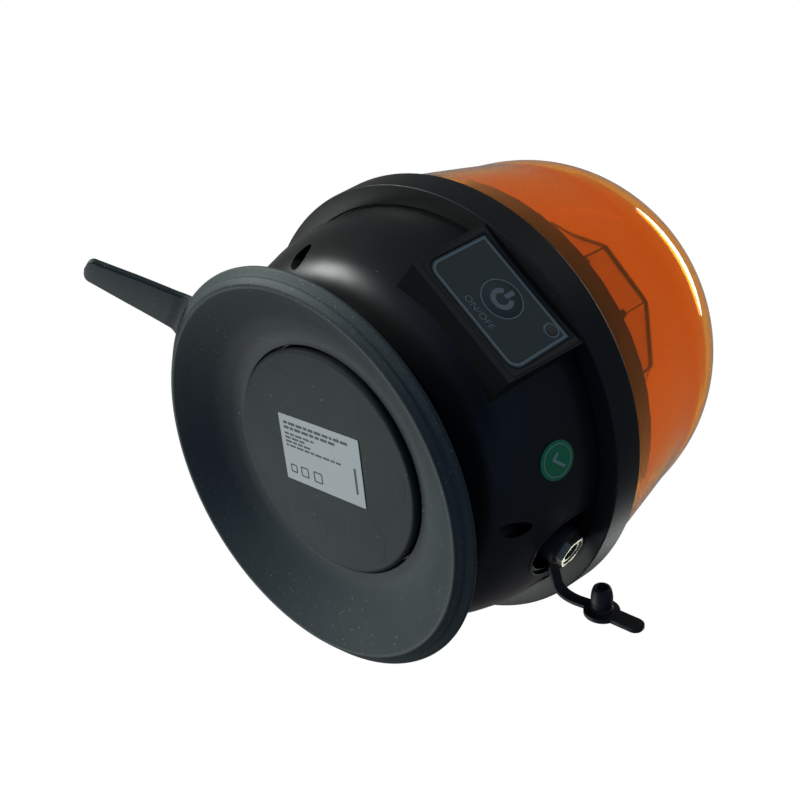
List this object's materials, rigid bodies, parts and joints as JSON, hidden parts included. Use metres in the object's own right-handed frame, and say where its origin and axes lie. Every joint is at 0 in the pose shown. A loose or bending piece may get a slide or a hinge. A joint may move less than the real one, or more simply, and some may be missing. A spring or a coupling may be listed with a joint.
{
  "type": "warning beacon",
  "caption": "Rechargeable amber LED warning beacon with a domed lens, black round housing, membrane switch, capped charging socket and magnetic suction-cup base.",
  "frame": {"origin": "centre of the magnetic pad's contact face", "axes": "+Z runs from the magnetic pad to the crown of the dome, -Y points out of the switch panel"},
  "size_m": [0.191, 0.152, 0.1755],
  "materials": {
    "black_plastic": "satin",
    "matt_black_plastic": "matte",
    "amber_dome": "glossy",
    "clear_plastic": "glossy",
    "white_plastic": "satin",
    "seal_rubber": "matte",
    "cup_rubber": "matte",
    "pad_rubber": "matte",
    "cap_rubber": "matte",
    "panel_film": "satin",
    "label_film": "matte",
    "green_paper": "satin",
    "steel": "satin",
    "nickel": "satin",
    "magnet_nickel": "satin",
    "green_board": "satin",
    "white_board": "satin",
    "cell_sleeve": "satin",
    "wire_red": "satin",
    "wire_black": "satin"
  },
  "bodies": {
    "housing": {"housing_bowl": "black_plastic", "lens_ring": "black_plastic", "lens_gasket": "seal_rubber", "dome_lens": "amber_dome", "led_drum": "black_plastic", "led_tower": "matt_black_plastic", "inner_optic": "clear_plastic", "led_module_1": "white_board", "led_module_2": "white_board", "led_module_3": "white_board", "led_module_4": "white_board", "led_module_5": "white_board", "led_module_6": "white_board", "led_module_7": "white_board", "led_module_8": "white_board", "led_module_9": "white_board", "led_module_10": "white_board", "control_board": "green_board", "board_screw_1": "steel", "board_screw_2": "steel", "board_screw_3": "steel", "suction_cup": "cup_rubber", "pull_tab": "cup_rubber", "magnet_pad": "pad_rubber", "rating_label": "label_film", "magnet_carrier": "matt_black_plastic", "magnet_1": "magnet_nickel", "magnet_2": "magnet_nickel", "magnet_3": "magnet_nickel", "magnet_4": "magnet_nickel", "magnet_5": "magnet_nickel", "magnet_6": "magnet_nickel", "keeper_plate": "steel", "centre_bolt": "steel", "centre_nut": "steel", "battery_tray": "matt_black_plastic", "battery_cell_1": "cell_sleeve", "battery_cell_2": "cell_sleeve", "battery_clamp": "matt_black_plastic", "tray_screw_1": "steel", "tray_screw_2": "steel", "housing_screw_1": "steel", "housing_screw_2": "steel", "housing_screw_3": "steel", "switch_membrane": "panel_film", "tact_switch": "matt_black_plastic", "switch_board": "green_board", "indicator_lens": "clear_plastic", "jack_barrel": "nickel", "jack_body": "matt_black_plastic", "jack_pin": "nickel", "jack_nut": "nickel", "cap_tether": "cap_rubber", "check_sticker": "green_paper", "jack_lead": "wire_red", "battery_lead": "wire_red", "switch_lead": "wire_black"},
    "button": {"power_button": "panel_film", "button_actuator": "white_plastic"},
    "cap": {"dust_cap": "cap_rubber"}
  },
  "joints": [
    {"name": "button_press", "type": "slide", "parent": "housing", "child": "button", "axis": [0, 0.9949, 0.1011], "range_m": [0, 0.0004], "stiffness_N_per_m": 1500},
    {"name": "cap_swing", "type": "hinge", "parent": "housing", "child": "cap", "pos_m": [0.07262, -0.00983, 0.036], "axis": [0, 0, 1], "range_deg": [-40, 70], "stiffness_Nm_per_rad": 0.003}
  ]
}
